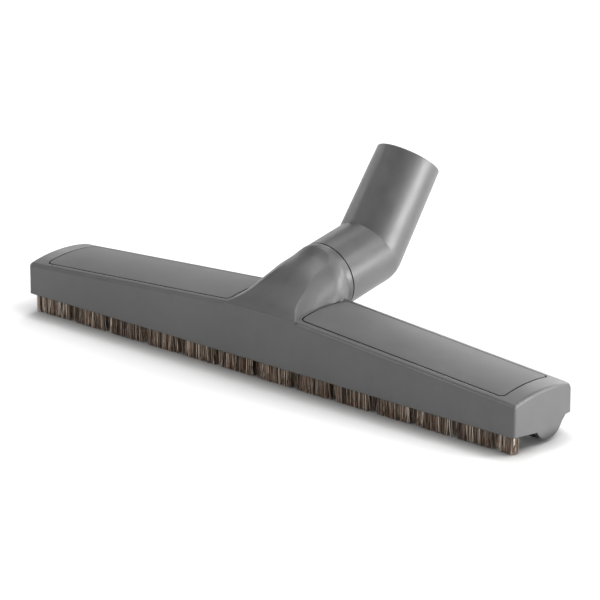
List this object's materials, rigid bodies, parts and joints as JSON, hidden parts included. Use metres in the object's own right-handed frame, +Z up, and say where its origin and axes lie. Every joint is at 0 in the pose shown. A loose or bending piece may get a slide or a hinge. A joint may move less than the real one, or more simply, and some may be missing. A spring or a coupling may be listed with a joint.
{
  "type": "vacuum floor brush head",
  "caption": "Wide hard-floor brush head with bristle strips, small end rollers and a bent swivel elbow that takes a vacuum wand.",
  "frame": {"origin": "on the floor under the middle of the whole head's bounding box", "axes": "+X across the head to its right end seen from the front, -Y towards the front brush strip, +Y towards the elbow, +Z up"},
  "size_m": [0.3664, 0.1532, 0.1138],
  "materials": {
    "housing_plastic": "satin moulded",
    "panel_plastic": "satin moulded",
    "elbow_plastic": "satin moulded",
    "sole_plastic": "fine grained",
    "backing_plastic": "extruded",
    "bristle_hair": "horsehair",
    "ring_plastic": "moulded",
    "seal_rubber": "matte",
    "wheel_plastic": "moulded",
    "tread_rubber": "matte",
    "axle_steel": "drawn wire",
    "screw_steel": "zinc plated"
  },
  "bodies": {
    "head": {"housing": "housing_plastic", "top_panel_left": "panel_plastic", "top_panel_right": "panel_plastic", "sole_plate": "sole_plastic", "sole_screws": "screw_steel", "front_brush_backing": "backing_plastic", "front_bristles": "bristle_hair", "rear_brush_backing": "backing_plastic", "rear_bristles": "bristle_hair", "roller_carrier_left": "sole_plastic", "roller_carrier_right": "sole_plastic", "roller_axle_left": "axle_steel", "roller_axle_right": "axle_steel"},
    "elbow": {"swivel_elbow": "elbow_plastic", "swivel_retaining_ring": "ring_plastic", "swivel_seal_ring": "seal_rubber"},
    "left_roller": {"roller_left": "wheel_plastic", "roller_tread_left": "tread_rubber"},
    "right_roller": {"roller_right": "wheel_plastic", "roller_tread_right": "tread_rubber"}
  },
  "joints": [
    {"name": "elbow_swivel", "type": "hinge", "parent": "head", "child": "elbow", "pos_m": [0, -0.01665, 0.0482], "axis": [0, 0.9903, 0.1392], "continuous": true},
    {"name": "left_roller_spin", "type": "hinge", "parent": "head", "child": "left_roller", "pos_m": [-0.1741, -0.04356, 0.0092], "axis": [1, 0, 0], "continuous": true},
    {"name": "right_roller_spin", "type": "hinge", "parent": "head", "child": "right_roller", "pos_m": [0.1741, -0.04356, 0.0092], "axis": [1, 0, 0], "continuous": true}
  ]
}
